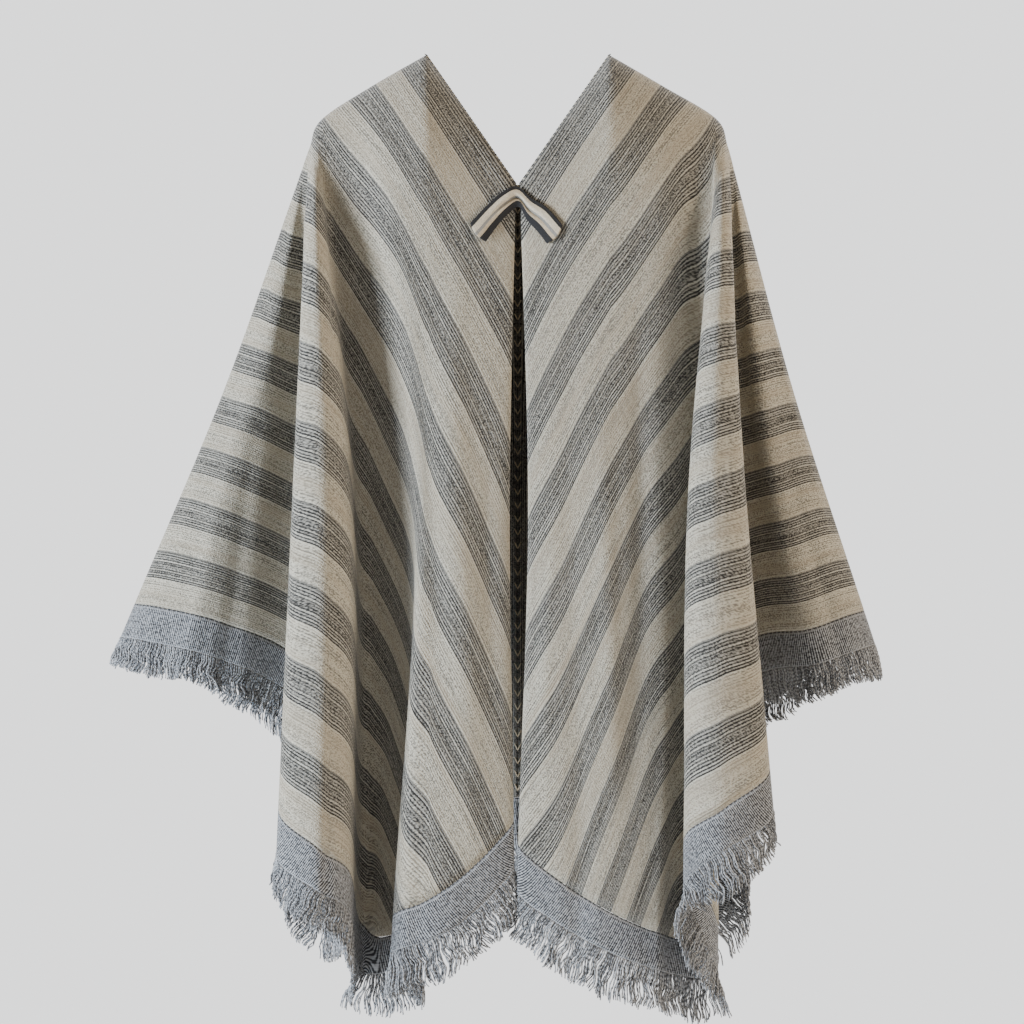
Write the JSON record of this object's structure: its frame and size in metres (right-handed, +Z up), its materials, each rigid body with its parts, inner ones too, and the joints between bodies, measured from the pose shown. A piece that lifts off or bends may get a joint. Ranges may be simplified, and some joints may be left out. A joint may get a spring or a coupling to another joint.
{
  "type": "poncho",
  "caption": "Striped woven open-front poncho (ruana) in worn, empty form: wide draped sides over the arms, V neck, plain band and yarn fringe all round, small ribbon tab at the throat.",
  "frame": {"origin": "middle of the neck opening at the height of the shoulder ridge, where the wearer carries the garment", "axes": "+Z up, -Y the way the wearer faces, +X to the wearer's left"},
  "size_m": [0.7995, 0.3389, 1.0059],
  "materials": {
    "striped_cloth": "matt woven wool, light and dark stripes",
    "band_cloth": "matt heather weave",
    "fringe_yarn": "matt twisted yarn",
    "ribbon": "woven tape with lengthwise stripes",
    "stitching": "matt yarn stitches"
  },
  "bodies": {
    "root": {"panel_right": "striped_cloth", "panel_left": "striped_cloth", "front_band_right": "band_cloth", "side_band_right": "band_cloth", "back_band_right": "band_cloth", "front_band_left": "band_cloth", "side_band_left": "band_cloth", "back_band_left": "band_cloth", "front_fringe_right": "fringe_yarn", "side_fringe_right": "fringe_yarn", "back_fringe_right": "fringe_yarn", "front_fringe_left": "fringe_yarn", "side_fringe_left": "fringe_yarn", "back_fringe_left": "fringe_yarn", "throat_ribbon": "ribbon"}
  },
  "joints": []
}
